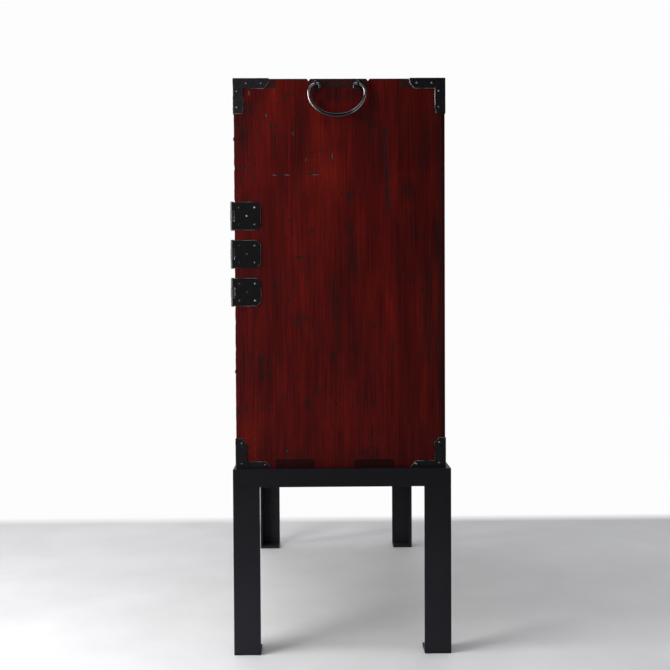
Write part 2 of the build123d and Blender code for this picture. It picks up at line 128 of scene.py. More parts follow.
def copyOfNode(node, name):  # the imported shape, with its triangles merged back into whole faces
    piece = bpy.data.objects.new(name, nodes[node].data.copy())
    bpy.context.collection.objects.link(piece)
    rename(piece, name)
    pick(piece)
    bpy.ops.mesh.customdata_custom_splitnormals_clear()
    bpy.ops.object.mode_set(mode='EDIT')
    bpy.ops.mesh.select_all(action='SELECT')
    bpy.ops.mesh.remove_doubles(threshold=merged["packed"])
    bpy.ops.mesh.dissolve_limited(angle_limit=radians(flatWithin))
    bpy.ops.object.mode_set(mode='OBJECT')
    return piece


def softenEdges(piece, width, steps=3, angle=40, edgeSlot=-1):  # edgeSlot is the material of worn edges
    bevel = piece.modifiers.new("softEdges", 'BEVEL')
    bevel.material = edgeSlot
    bevel.width = width
    bevel.segments = steps
    bevel.limit_method = 'ANGLE'
    bevel.angle_limit = radians(angle)
    pick(piece)
    bpy.ops.object.modifier_apply(modifier="softEdges")
    bpy.ops.object.shade_smooth_by_angle(angle=radians(angle))
    flats = piece.modifiers.new("flatFaces", 'WEIGHTED_NORMAL')
    flats.keep_sharp = True
    bpy.ops.object.modifier_apply(modifier="flatFaces")


def standFor(piece, node):
    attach(piece, bodyOf[node])
    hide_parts(node)


# materials
def newMaterial(name, **sockets):
    material = bpy.data.materials.new(name)
    material.use_nodes = True
    shader = material.node_tree.nodes["Principled BSDF"]
    for socket, value in sockets.items():
        shader.inputs[socket.replace("_", " ")].default_value = value
    return material, material.node_tree, shader


def stretched(tree, scale, turn=(0, 0, 0)):  # object coordinates, in metres, squeezed along the grain
    place = tree.nodes.new("ShaderNodeTexCoord")
    mapping = tree.nodes.new("ShaderNodeMapping")
    mapping.inputs["Scale"].default_value = scale
    mapping.inputs["Rotation"].default_value = turn
    tree.links.new(place.outputs["Object"], mapping.inputs["Vector"])
    return mapping.outputs["Vector"]


def noiseOf(tree, place, scale, detail=4, roughness=0.55, distortion=0):
    noise = tree.nodes.new("ShaderNodeTexNoise")
    noise.inputs["Scale"].default_value = scale
    noise.inputs["Detail"].default_value = detail
    noise.inputs["Roughness"].default_value = roughness
    noise.inputs["Distortion"].default_value = distortion
    tree.links.new(place, noise.inputs["Vector"])
    return noise.outputs["Fac"]


def rangeOf(tree, value, low, high, toLow=0.0, toHigh=1.0):
    node = tree.nodes.new("ShaderNodeMapRange")
    node.inputs["From Min"].default_value = low
    node.inputs["From Max"].default_value = high
    node.inputs["To Min"].default_value = toLow
    node.inputs["To Max"].default_value = toHigh
    tree.links.new(value, node.inputs["Value"])
    return node.outputs["Result"]


def rampOf(tree, value, stops):
    node = tree.nodes.new("ShaderNodeValToRGB")
    while len(node.color_ramp.elements) < len(stops):
        node.color_ramp.elements.new(0.5)
    for element, (position, colour) in zip(node.color_ramp.elements, stops):
        element.position = position
        element.color = (*colour, 1)
    tree.links.new(value, node.inputs["Fac"])
    return node.outputs["Color"]


def mixColour(tree, factor, first, second, how='MIX'):
    node = tree.nodes.new("ShaderNodeMix")
    node.data_type = 'RGBA'
    node.blend_type = how
    for value, socket in ((factor, 0), (first, 6), (second, 7)):
        if isinstance(value, (int, float)):
            node.inputs[socket].default_value = value
        elif isinstance(value, tuple):
            node.inputs[socket].default_value = (*value, 1)
        else:
            tree.links.new(value, node.inputs[socket])
    return node.outputs[2]


def mathOf(tree, how, first, second):
    node = tree.nodes.new("ShaderNodeMath")
    node.operation = how
    for value, socket in ((first, 0), (second, 1)):
        if isinstance(value, (int, float)):
            node.inputs[socket].default_value = value
        else:
            tree.links.new(value, node.inputs[socket])
    return node.outputs[0]


def product(tree, first, second):
    return mathOf(tree, 'MULTIPLY', first, second)


def splitOf(tree, place):
    node = tree.nodes.new("ShaderNodeSeparateXYZ")
    tree.links.new(place, node.inputs["Vector"])
    return node.outputs


def bumpOf(tree, shader, height, strength, distance):
    node = tree.nodes.new("ShaderNodeBump")
    node.inputs["Strength"].default_value = strength
    node.inputs["Distance"].default_value = distance
    tree.links.new(height, node.inputs["Height"])
    tree.links.new(node.outputs["Normal"], shader.inputs["Normal"])


def spotsOf(tree, place, spots):  # soft ovals, each by its middle and its three half sizes
    core = 0.35  # share of the oval that is at full strength
    largest = None
    for middle, size in spots:
        offset = tree.nodes.new("ShaderNodeVectorMath")
        offset.operation = 'SUBTRACT'
        offset.inputs[1].default_value = middle
        tree.links.new(place, offset.inputs[0])
        shrunk = tree.nodes.new("ShaderNodeVectorMath")
        shrunk.operation = 'DIVIDE'
        shrunk.inputs[1].default_value = size
        tree.links.new(offset.outputs["Vector"], shrunk.inputs[0])
        reach = tree.nodes.new("ShaderNodeVectorMath")
        reach.operation = 'LENGTH'
        tree.links.new(shrunk.outputs["Vector"], reach.inputs[0])
        spot = rangeOf(tree, reach.outputs["Value"], 1.0, core)
        largest = spot if largest is None else mathOf(tree, 'MAXIMUM', largest, spot)
    return largest


# in every look a noise is its scale, detail, roughness and distortion, colours of a ramp follow their
# place on it, and a shade is the noise's low and high, and what they turn into
lacquer = {
    "reds": [
        (0.34, (0.038, 0.0019, 0.0018)),
        (0.50, (0.056, 0.0024, 0.0019)),
        (0.68, (0.072, 0.0030, 0.0020)),
    ],
    "glow": (0.104, 0.0055, 0.0022),
    # dark of soot, also the colour of the painted shadows among the smudges
    "sootAndShadow": (0.009, 0.0028, 0.0028),
    # dark of worn-through dents, also the painted shade along the scratches' upper edges
    "dentAndShade": (0.0085, 0.0070, 0.0075),
    # pale of rubs, also painted highlights on the lower lips of scratches and dents
    "rubbedAndGlinting": (0.085, 0.078, 0.075),
    "worn": (0.0115, 0.0060, 0.0075),
    "fibres": (460, 3, 0.65, 0.2),
    "streaks": (170, 5, 0.65, 0.6),
    "bands": (26, 4, 0.6),
    "patches": (13, 4, 0.6, 0.4),
    "clouds": (9, 4, 0.6),
    "specks": (185, 2, 0.5),
    "crowds": (15, 3),
    "ragged": (600, 3),
    "raggedSpread": (1, 1, 0.3),
    "glowing": (0.48, 0.70, 0, 0.75),
    "bandShade": (0.35, 0.65, 0.80, 1.18),
    "fibreShade": (0.34, 0.66, 0.62, 1.36),
    "sooty": (0.53, 0.76, 0, 0.45),
    "smeared": (0.40, 0.28, 0, 0.6),
    "smearBroken": (0.6, 0.4, 0.2, 1),
    "crowding": (0.42, 0.70, -0.02, 0.06),
    "crowdHere": 0.07,
    "dented": (0.645, 0.685, 0, 0.85),
    "dentDepth": 2.2,
    "markDepth": 2,
    "smudgeAndShadowBreakup": (0.40, 0.60, 0.72, 0.25),
    "markBroken": (0.30, 0.46, 0.35, 1),
    "edgeBroken": (0.40, 0.56, 0.15, 0.95),
    "rubAndGlintStrength": 0.8,
    "seamHalf": 0.0008,
    "roughness": (0.3, 0.7, 0.50, 0.38),
    "shine": 0.07,
    "bump": 0.3,
    "bumpHeight": 0.0003,
}
wornEdges = {  # metres along y, y and z, from where the wear begins to where it is full
    "front": (-0.2050, -0.2118),
    "back": (0.2020, 0.2085),
    "top": (1.1560, 1.1612),
}
grainAlong = {
    "z": {
        "fibre": (1, 1, 0.014),
        "streak": (1, 1, 0.045),
        "band": (1, 1, 0.13),
        "patch": (1, 1, 0.28),
        "speck": (1, 1, 0.6),
    },
    "x": {
        "fibre": (0.014, 1, 1),
        "streak": (0.045, 1, 1),
        "band": (0.13, 1, 1),
        "patch": (0.28, 1, 1),
        "speck": (0.6, 1, 1),
    },
}


def lacquerWood(name, grain, tone=1.0, boards=(), darkSpots=(), paleSpots=(), crowded=(), smudgesAndShadows=()):
    material, tree, shader = newMaterial(name, Specular_IOR_Level=lacquer["shine"])
    along = grainAlong[grain]
    anywhere = stretched(tree, (1, 1, 1))
    fibres = noiseOf(tree, stretched(tree, along["fibre"]), *lacquer["fibres"])
    streaks = noiseOf(tree, stretched(tree, along["streak"]), *lacquer["streaks"])
    bands = noiseOf(tree, stretched(tree, along["band"]), *lacquer["bands"])
    patches = noiseOf(tree, stretched(tree, along["patch"]), *lacquer["patches"])
    clouds = noiseOf(tree, anywhere, *lacquer["clouds"])
    specks = noiseOf(tree, stretched(tree, along["speck"]), *lacquer["specks"])
    colour = rampOf(tree, streaks, lacquer["reds"])
    colour = mixColour(tree, rangeOf(tree, patches, *lacquer["glowing"]), colour, lacquer["glow"])
    shade = product(tree, rangeOf(tree, bands, *lacquer["bandShade"]), tone)
    shade = product(tree, shade, rangeOf(tree, fibres, *lacquer["fibreShade"]))
    split = splitOf(tree, anywhere)
    half = lacquer["seamHalf"]
    for seam, boardTone in boards:  # glued from boards of slightly different red
        shade = product(tree, shade, rangeOf(tree, split["Y"], seam - half, seam + half, 1, boardTone))
    colour = mixColour(tree, 1.0, colour, shade, 'MULTIPLY')
    colour = mixColour(tree, rangeOf(tree, clouds, *lacquer["sooty"]), colour, lacquer["sootAndShadow"])
    smears = rangeOf(tree, patches, *lacquer["smeared"])
    smears = product(tree, smears, rangeOf(tree, fibres, *lacquer["smearBroken"]))
    colour = mixColour(tree, smears, colour, lacquer["sootAndShadow"])
    crowd = noiseOf(tree, anywhere, *lacquer["crowds"])  # dents come in groups
    crowd = rangeOf(tree, crowd, *lacquer["crowding"])
    if crowded:
        here = product(tree, spotsOf(tree, anywhere, crowded), lacquer["crowdHere"])
        crowd = mathOf(tree, 'ADD', crowd, here)
    dents = rangeOf(tree, mathOf(tree, 'ADD', specks, crowd), *lacquer["dented"])
    colour = mixColour(tree, dents, colour, lacquer["dentAndShade"])
    height = mathOf(tree, 'SUBTRACT', streaks, product(tree, dents, lacquer["dentDepth"]))
    # painted shadow mixed with dirt: soft dark spots, some real smudges, others the bail's cast shadow and the
    # shade around the handle and the irons
    if smudgesAndShadows:
        soft = spotsOf(tree, anywhere, smudgesAndShadows)
        soft = product(tree, soft, rangeOf(tree, fibres, *lacquer["smudgeAndShadowBreakup"]))
        colour = mixColour(tree, soft, colour, lacquer["sootAndShadow"])
    # dark marks: cracks and dents, and painted shade along the upper edges of scratches
    if darkSpots:
        ragged = noiseOf(tree, stretched(tree, lacquer["raggedSpread"]), *lacquer["ragged"])
        broken = spotsOf(tree, anywhere, darkSpots)
        broken = product(tree, broken, rangeOf(tree, ragged, *lacquer["markBroken"]))
        colour = mixColour(tree, broken, colour, lacquer["dentAndShade"])
        height = mathOf(tree, 'SUBTRACT', height, product(tree, broken, lacquer["markDepth"]))
        edges = rangeOf(tree, split["Y"], *wornEdges["front"])
        edges = mathOf(tree, 'MAXIMUM', edges, rangeOf(tree, split["Z"], *wornEdges["top"]))
        edges = mathOf(tree, 'MAXIMUM', edges, rangeOf(tree, split["Y"], *wornEdges["back"]))
        edges = product(tree, edges, rangeOf(tree, ragged, *lacquer["edgeBroken"]))
        colour = mixColour(tree, edges, colour, lacquer["worn"])
    # pale marks: rubs, and painted highlights on the lower lips of scratches and dents
    if paleSpots:
        rubbedAndGlinting = product(tree, spotsOf(tree, anywhere, paleSpots), lacquer["rubAndGlintStrength"])
        colour = mixColour(tree, rubbedAndGlinting, colour, lacquer["rubbedAndGlinting"])
    tree.links.new(colour, shader.inputs["Base Color"])
    tree.links.new(rangeOf(tree, streaks, *lacquer["roughness"]), shader.inputs["Roughness"])
    bumpOf(tree, shader, height, lacquer["bump"], lacquer["bumpHeight"])
    return material


endGrainLook = {
    "reds": [(0.35, (0.012, 0.0030, 0.0034)), (0.65, (0.040, 0.0045, 0.0042))],
    "rings": (330, 4, 0.6, 0.5),
    "ringSpread": (1, 0.35, 1),
    "pores": (900, 2),
    "poreShade": (0.4, 0.65, 1.1, 0.6),
    "roughness": 0.55,
    "bump": 0.35,
    "bumpHeight": 0.0003,
}


def endGrain(name, tone, shine):  # sawn ends, darker than the faces
    look = endGrainLook
    material, tree, shader = newMaterial(name, Specular_IOR_Level=shine, Roughness=look["roughness"])
    rings = noiseOf(tree, stretched(tree, look["ringSpread"]), *look["rings"])
    pores = noiseOf(tree, stretched(tree, (1, 1, 1)), *look["pores"])
    colour = rampOf(tree, rings, look["reds"])
    shade = product(tree, rangeOf(tree, pores, *look["poreShade"]), tone)
    colour = mixColour(tree, 1.0, colour, shade, 'MULTIPLY')
    tree.links.new(colour, shader.inputs["Base Color"])
    bumpOf(tree, shader, rings, look["bump"], look["bumpHeight"])
    return material


paleWoodLook = {
    "along": {"z": (1, 1, 0.022), "x": (0.022, 1, 1), "y": (1, 0.022, 1)},
    "rings": (85, 5, 0.55, 0.25),
    "ringStops": (0.30, 0.49, 0.55, 0.60, 0.70),
    "pores": (480, 3),
    "poreColour": (0.10, 0.055, 0.03),
    "poreDepth": (0.58, 0.72, 0, 0.5),
    "age": (5, 4),
    "ageColour": (0.13, 0.075, 0.04),
    "aged": (0.45, 0.75, 0, 0.45),
    "roughness": (0.3, 0.7, 0.62, 0.75),
    "shine": 0.3,
    "bump": 0.25,
    "bumpHeight": 0.0004,
}


def paleWood(name, grain, dark=(0.20, 0.115, 0.060), pale=(0.40, 0.265, 0.155)):
    look = paleWoodLook
    material, tree, shader = newMaterial(name, Specular_IOR_Level=look["shine"])
    alongGrain = stretched(tree, look["along"][grain])
    rings = noiseOf(tree, alongGrain, *look["rings"])
    pores = noiseOf(tree, alongGrain, *look["pores"])
    age = noiseOf(tree, stretched(tree, (1, 1, 1)), *look["age"])
    between = tuple((low + high) / 2 for low, high in zip(dark, pale))
    colour = rampOf(tree, rings, list(zip(look["ringStops"], (between, pale, between, dark, pale))))
    colour = mixColour(tree, rangeOf(tree, pores, *look["poreDepth"]), colour, look["poreColour"])
    colour = mixColour(tree, rangeOf(tree, age, *look["aged"]), colour, look["ageColour"])
    tree.links.new(colour, shader.inputs["Base Color"])
    tree.links.new(rangeOf(tree, rings, *look["roughness"]), shader.inputs["Roughness"])
    bumpOf(tree, shader, rings, look["bump"], look["bumpHeight"])
    return material


blackIronLook = {
    "blotches": (90, 5, 0.6),
    "stops": (0.35, 0.68),
    "blows": (260, 2),
    "grit": (1500, 2),
    "gritShare": 0.15,
    "roughened": (0.3, 0.7),
    "rougher": 0.08,
    "smoother": 0.06,
    "bumpHeight": 0.0005,
}


def blackIron(name, low, high, shine, rough=0.38, hammer=0.35):
    look = blackIronLook
    material, tree, shader = newMaterial(name, Specular_IOR_Level=shine)
    anywhere = stretched(tree, (1, 1, 1))
    blotches = noiseOf(tree, anywhere, *look["blotches"])
    blows = noiseOf(tree, anywhere, *look["blows"])
    grit = noiseOf(tree, anywhere, *look["grit"])
    colour = rampOf(tree, blotches, list(zip(look["stops"], (low, high))))
    tree.links.new(colour, shader.inputs["Base Color"])
    rougher = rough + look["rougher"]
    smoother = rough - look["smoother"]
    roughness = rangeOf(tree, blotches, *look["roughened"], rougher, smoother)
    tree.links.new(roughness, shader.inputs["Roughness"])
    height = mathOf(tree, 'ADD', blows, product(tree, grit, look["gritShare"]))
    bumpOf(tree, shader, height, hammer, look["bumpHeight"])
    return material


wornIronLook = {
    "bareDetail": (3, 0.6),
    "stops": (0.44, 0.60),
    "rust": (420, 4, 0.65),
    "rustColour": (0.030, 0.028, 0.027),
    "rusted": (0.5, 0.7, 0, 0.45),
    "blows": (190, 2),
    "roughened": (0.35, 0.7),
    "rougher": 0.12,
    "patchShare": 0.5,
    "handled": (0, 1, 0.12, 0.38),
    "bump": 0.25,
    "bumpHeight": 0.0003,
}


def wornIron(name, dark, pale, patch, rough, handled=""):  # bare in patches, black between them
    look = wornIronLook
    material, tree, shader = newMaterial(name, Metallic=1.0)
    anywhere = stretched(tree, (1, 1, 1))
    bare = noiseOf(tree, anywhere, patch, *look["bareDetail"])
    if handled:  # and bright where hands rub it, by the piece's own attribute
        rubbedThere = tree.nodes.new("ShaderNodeAttribute")
        rubbedThere.attribute_name = handled
        byHand = rangeOf(tree, rubbedThere.outputs["Fac"], *look["handled"])
        bare = mathOf(tree, 'ADD', product(tree, bare, look["patchShare"]), byHand)
    rust = noiseOf(tree, anywhere, *look["rust"])
    blows = noiseOf(tree, anywhere, *look["blows"])
    colour = rampOf(tree, bare, list(zip(look["stops"], (dark, pale))))
    colour = mixColour(tree, rangeOf(tree, rust, *look["rusted"]), colour, look["rustColour"])
    tree.links.new(colour, shader.inputs["Base Color"])
    roughness = rangeOf(tree, rust, *look["roughened"], rough, rough + look["rougher"])
    tree.links.new(roughness, shader.inputs["Roughness"])
    bumpOf(tree, shader, blows, look["bump"], look["bumpHeight"])
    return material


standPaintLook = {
    "blacks": [(0.3, (0.0071, 0.0069, 0.0088)), (0.75, (0.0097, 0.0094, 0.0119))],
    "dust": (6, 5),
    "peel": (900, 2),
    "litFromFloor": (0.03, 0.35, 2.3, 0.82),  # painted light thrown up from the floor, lighter towards it: heights above the floor, and the tone there
    "roughness": (0.3, 0.7, 0.46, 0.38),
    "shine": 0.1,
    "bump": 0.08,
    "bumpHeight": 0.0002,
}


def standPaint(name):
    look = standPaintLook
    material, tree, shader = newMaterial(name, Specular_IOR_Level=look["shine"])
    anywhere = stretched(tree, (1, 1, 1))
    dust = noiseOf(tree, anywhere, *look["dust"])
    peel = noiseOf(tree, anywhere, *look["peel"])
    colour = rampOf(tree, dust, look["blacks"])
    # painted light: the paint is lighter towards the floor, standing in for light thrown up from it
    paintedFloorLight = rangeOf(tree, splitOf(tree, anywhere)["Z"], *look["litFromFloor"])
    colour = mixColour(tree, 1.0, colour, paintedFloorLight, 'MULTIPLY')
    tree.links.new(colour, shader.inputs["Base Color"])
    tree.links.new(rangeOf(tree, dust, *look["roughness"]), shader.inputs["Roughness"])
    bumpOf(tree, shader, peel, look["bump"], look["bumpHeight"])
    return material


sideX = 0.4545
sideBoards = [(-0.0024, 1.05), (0.1210, 0.72)]  # y of each seam, and the tone beyond it
# cracks, dents and rubs, with painted shade, shadows and highlights, on the right-hand side: y, z, half width and
# half height, in metres
sideMarks = {
    "dark": [
        (0.0966, 1.046, 0.0026, 0.030),
        (0.0978, 1.010, 0.0034, 0.032),
        (0.0994, 0.972, 0.0044, 0.034),
        (0.1003, 0.934, 0.0052, 0.028),
        (0.1022, 0.906, 0.0038, 0.022),
        (0.0250, 0.9255, 0.0072, 0.0080),
        # painted shade: the dark upper edges of three scratches
        (-0.1185, 0.9705, 0.0125, 0.0024),
        (-0.0985, 0.9712, 0.0100, 0.0024),
        (-0.0480, 0.9715, 0.0180, 0.0026),
        (-0.1434, 1.088, 0.0026, 0.010),
        (-0.1235, 1.036, 0.0018, 0.022),
        (-0.1262, 1.011, 0.0022, 0.008),
        (-0.0110, 1.004, 0.0028, 0.015),
        (-0.0636, 1.000, 0.0030, 0.008),
        (-0.0890, 1.058, 0.0022, 0.019),
        (-0.0500, 1.0140, 0.0120, 0.0016),
        (-0.0270, 1.0172, 0.0120, 0.0014),
        (-0.0022, 0.6700, 0.0012, 0.0700),
        (-0.1592, 0.6061, 0.0040, 0.0040),
        (-0.1416, 0.5949, 0.0040, 0.0030),
        (-0.0780, 0.6688, 0.0040, 0.0030),
        (-0.0690, 0.6802, 0.0230, 0.0014),
        (-0.0772, 0.8036, 0.0110, 0.0040),
        (-0.1050, 0.4130, 0.0034, 0.0052),
    ],
    "pale": [
        # painted highlights: the bright lower lips of the same three scratches
        (-0.1265, 0.9688, 0.0050, 0.0015),
        (-0.1015, 0.9690, 0.0070, 0.0015),
        (-0.0455, 0.9697, 0.0090, 0.0013),
        (-0.1768, 1.133, 0.0015, 0.0070),
        (-0.1434, 1.088, 0.0013, 0.0050),
        (-0.0108, 1.006, 0.0013, 0.0090),
        (-0.0640, 0.999, 0.0012, 0.0040),
        (-0.0891, 1.052, 0.0010, 0.0060),
        (-0.1050, 0.4115, 0.0014, 0.0022),
    ],
    # smudges and painted shadows: dirt, the bail's cast shadow, and the shade around the handle's eyes and the
    # irons
    "smudgesAndShadows": [
        # painted shade and dirt around the handle's two eyes
        (-0.047, 1.136, 0.022, 0.024),
        (0.043, 1.136, 0.020, 0.022),
        (-0.036, 1.112, 0.020, 0.016),
        (0.004, 1.128, 0.050, 0.018),
        # painted shadow: these two are the bail's cast shadow on the wood
        (0.060, 1.082, 0.032, 0.014),
        (0.074, 1.068, 0.018, 0.012),
        (0.078, 1.112, 0.016, 0.030),
        (0.087, 1.020, 0.010, 0.070),
        (0.024, 0.862, 0.012, 0.036),
        (0.031, 0.800, 0.022, 0.060),
        (0.143, 0.938, 0.018, 0.028),
        (0.156, 0.850, 0.010, 0.020),
        (-0.010, 0.6027, 0.011, 0.017),
        (-0.064, 0.5090, 0.009, 0.026),
        (0.067, 0.440, 0.009, 0.034),
        (0.060, 0.405, 0.040, 0.020),
        (0.182, 0.700, 0.020, 0.160),
        (0.206, 0.760, 0.010, 0.360),
        (-0.180, 1.100, 0.020, 0.022),
        (0.176, 1.020, 0.018, 0.060),
        (-0.150, 0.580, 0.022, 0.040),
        (-0.190, 1.060, 0.022, 0.060),
        (-0.010, 0.730, 0.012, 0.060),
    ],
    "crowded": [
        (-0.048, 1.120, 0.022, 0.024),
        (0.050, 1.096, 0.030, 0.020),
        (-0.120, 1.060, 0.030, 0.030),
        (-0.170, 1.105, 0.026, 0.030),
        (-0.190, 0.980, 0.014, 0.090),
        (0.185, 1.080, 0.018, 0.040),
        (-0.087, 0.803, 0.016, 0.012),
        (-0.127, 0.752, 0.018, 0.032),
        (-0.096, 0.724, 0.014, 0.014),
        (-0.155, 0.612, 0.016, 0.022),
        (0.021, 0.859, 0.009, 0.022),
        (-0.049, 0.859, 0.014, 0.009),
        (-0.071, 0.782, 0.008, 0.012),
        (-0.082, 0.673, 0.014, 0.014),
        (-0.124, 0.696, 0.010, 0.010),
        (0.143, 0.649, 0.007, 0.024),
        (0.087, 0.477, 0.009, 0.009),
        (0.066, 0.446, 0.008, 0.024),
        (0.174, 0.525, 0.006, 0.020),
        (0.190, 0.843, 0.010, 0.008),
        (-0.007, 0.677, 0.005, 0.034),
    ],
}


def onRightSide(kind):
    depth = 0.004
    return [((sideX, y, z), (depth, halfY, halfZ)) for y, z, halfY, halfZ in sideMarks[kind]]


standing = lacquerWood("redLacquerUpright", "z")
lying = lacquerWood("redLacquerLevel", "x")
darkEdge = lacquerWood("redLacquerBackEdge", "z", tone=0.40)
rightSide = lacquerWood(
    "redLacquerRightSide",
    "z",
    boards=sideBoards,
    darkSpots=onRightSide("dark"),
    paleSpots=onRightSide("pale"),
    crowded=onRightSide("crowded"),
    smudgesAndShadows=onRightSide("smudgesAndShadows"),
)
topEnds = endGrain("topBoardEnds", tone=0.9, shine=0.12)
bottomEnds = endGrain("bottomBoardEnds", tone=0.70, shine=0.05)
frontIron = blackIron("blackIron", (0.0024, 0.0020, 0.0026), (0.0070, 0.0060, 0.0070), shine=0.15)
# painted sheen: a lighter copy of the black iron for the top front corner irons, standing in for the window light
# they catch
sheenPaintedIron = blackIron("topIronPaintedSheen", (0.0042, 0.0036, 0.0044), (0.0145, 0.0125, 0.0145), shine=0.18)
hingeIron = blackIron("hingeIron", (0.0022, 0.0022, 0.0027), (0.0050, 0.0049, 0.0056), shine=0.11)
# painted sheen: a lighter, glossier copy of the hinge iron for the barrels, standing in for reflected light
barrelSheenIron = blackIron(
    "hingeBarrelPaintedSheen",
    (0.0190, 0.0190, 0.0225),
    (0.0420, 0.0420, 0.0480),
    shine=0.30,
    rough=0.34,
    hammer=0.06,
)
rubbedIron = wornIron("rubbedIronEdge", (0.010, 0.010, 0.011), (0.25, 0.25, 0.26), patch=30, rough=0.26)
rubbedHinge = wornIron("rubbedHingeEdge", (0.06, 0.06, 0.063), (0.60, 0.60, 0.61), patch=30, rough=0.34)
nailIron = wornIron("nailIron", (0.07, 0.07, 0.073), (0.22, 0.22, 0.23), patch=12, rough=0.10)
dullNail = wornIron("dullNailIron", (0.016, 0.016, 0.018), (0.05, 0.05, 0.055), patch=26, rough=0.30)
bailIron = wornIron(
    "wornBailIron",
    (0.052, 0.052, 0.055),
    (0.22, 0.22, 0.225),
    patch=40,
    rough=0.08,
    handled="rubbedAndGlinting",
)
steelPaint = standPaint("satinBlackPaint")
sideWood = paleWood("drawerSideWood", "y")
rearWood = paleWood("drawerRearWood", "x")
floorWood = paleWood("drawerFloorWood", "x", dark=(0.22, 0.13, 0.070), pale=(0.38, 0.255, 0.15))
boardWood = paleWood("boardWood", "x", dark=(0.16, 0.09, 0.048), pale=(0.30, 0.19, 0.11))
backWood = paleWood("backWood", "z", dark=(0.050, 0.022, 0.016), pale=(0.105, 0.050, 0.034))
print("materials ready")

# the boards of the carcass: face material, material of the ends or edges, edge radius, slot
carcass = {
    "side_panel_right": (rightSide, topEnds, 0.0006, "red_lacquer"),
    "side_panel_left": (standing, topEnds, 0.0006, "red_lacquer"),
    "top_board": (lying, topEnds, 0.0008, "red_lacquer"),
    "bottom_board": (boardWood, bottomEnds, 0.0006, "plain_wood"),
    "back_panel": (backWood, darkEdge, 0.0006, "plain_wood"),
    "upper_shelf": (lying, lying, 0.0006, "plain_wood"),
    "lower_shelf": (lying, lying, 0.0006, "plain_wood"),
    "partition": (standing, standing, 0.0006, "plain_wood"),
    "middle_rail": (lying, lying, 0.0006, "plain_wood"),
    "cupboard_shelf": (boardWood, boardWood, 0.0006, "plain_wood"),
}


chips = {
    "places": (-0.0574, 0.0619),
    "half": 0.0032,
    "depth": 0.0042,
    "length": 0.045,
    "tip": 0.12,  # width at the tip and at the mouth, as shares of the middle's
    "mouth": 2,
}


def chipCorners(board):  # a V out of the top edge at each joint of the right-hand side
    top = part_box("top_board")[1].z
    for place in chips["places"]:
        middle = (sideX, place, top)
        bpy.ops.object.select_all(action='DESELECT')
        bpy.ops.mesh.primitive_cube_add(size=1, location=middle)
        wedge = bpy.context.object
        wedge.scale = (chips["length"], 2 * chips["half"], 2 * chips["depth"])
        applyAll(wedge)
        selectFaces(wedge, lambda normal: normal.z < -facing)
        bpy.ops.transform.resize(value=(1, chips["tip"], 1), center_override=middle)
        bpy.ops.object.mode_set(mode='OBJECT')
        selectFaces(wedge, lambda normal: normal.z > facing)
        bpy.ops.transform.resize(value=(1, chips["mouth"], 1), center_override=middle)
        bpy.ops.object.mode_set(mode='OBJECT')
        cut = board.modifiers.new("chip", 'BOOLEAN')
        cut.operation = 'DIFFERENCE'
        cut.object = wedge
        pick(board)
        bpy.ops.object.modifier_apply(modifier="chip")
        dropModel(wedge)


wear = {
    "cuts": 150,
    "shallow": 0.0004,
    "deep": 0.0013,
    "deepShare": 0.12,
    "seed": 7,
    "shortestEdge": 0.1,
    "endMargin": 0.03,
}


def wearFrontEdge(board):  # small dips along the outer front edge of the right-hand side
    front = min(vertex.co.y for vertex in board.data.vertices)
    pick(board)
    bpy.ops.object.mode_set(mode='EDIT')
    bpy.ops.mesh.select_mode(type='EDGE')
    bpy.ops.mesh.select_all(action='DESELECT')
    bpy.ops.object.mode_set(mode='OBJECT')
    points = board.data.vertices
    for edge in board.data.edges:
        first, last = (points[index].co for index in edge.vertices)
        upright = abs(first.z - last.z) > wear["shortestEdge"]
        edge.select = upright and max(first.y, last.y) < front + closeBy
    bpy.ops.object.mode_set(mode='EDIT')
    bpy.ops.mesh.subdivide(number_cuts=wear["cuts"])
    bpy.ops.object.mode_set(mode='OBJECT')
    chance = random.Random(wear["seed"])
    low = min(point.co.z for point in points) + wear["endMargin"]
    high = max(point.co.z for point in points) - wear["endMargin"]
    outer = [point for point in points if point.co.y < front + closeBy and point.co.x > sideX - closeBy]
    for point in sorted(outer, key=lambda point: point.co.z):
        if low < point.co.z < high:
            depth = wear["deep"] if chance.random() < wear["deepShare"] else wear["shallow"]
            point.co.y += depth * chance.random()


for node, (material, endMaterial, edge, slot) in carcass.items():
    board = copyOfNode(node, f"{node}_worn")
    if node in ("side_panel_right", "top_board"):
        chipCorners(board)
    if node == "side_panel_right":
        wearFrontEdge(board)
    paint(board, material, endMaterial, lying)
    softenEdges(board, edge)
    for face in board.data.polygons:
        face.material_index = 0
        if node == "back_panel":  # its edges show on the sides and are stained with them
            face.material_index = 0 if face.normal.y > tilted else 1
        elif node in ("top_board", "bottom_board"):
            if abs(face.normal.x) > leaning:
                face.material_index = 1
            elif face.normal.y < -leaning:
                face.material_index = 2
        elif node.startswith("side_panel") and abs(face.normal.z) > leaning:
            face.material_index = 1
    standFor(board, node)
print("carcass")

# drawers and door
drawerLook = {"edge": 0.0004, "doorEdge": 0.0005, "wall": 0.0115, "floor": 0.0072}
for drawer in drawerNames:
    front = copyOfNode(f"{drawer}_front", f"{drawer}_front_worn")
    softenEdges(front, drawerLook["edge"])
    paint(front, lying)
    standFor(front, f"{drawer}_front")
    box = copyOfNode(f"{drawer}_box", f"{drawer}_box_worn")
    softenEdges(box, drawerLook["edge"])
    paint(box, sideWood, rearWood, floorWood)
    boxLow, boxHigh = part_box(f"{drawer}_box")
    for face in box.data.polygons:  # each board has its own way of the grain
        place = face.center
        sideWall = min(place.x - boxLow.x, boxHigh.x - place.x) < drawerLook["wall"]
        rearWall = boxHigh.y - place.y < drawerLook["wall"]
        face.material_index = 0
        if not sideWall and place.z - boxLow.z < drawerLook["floor"]:
            face.material_index = 2
        elif not sideWall and rearWall:
            face.material_index = 1
    standFor(box, f"{drawer}_box")
door = copyOfNode("door_panel", "door_panel_worn")
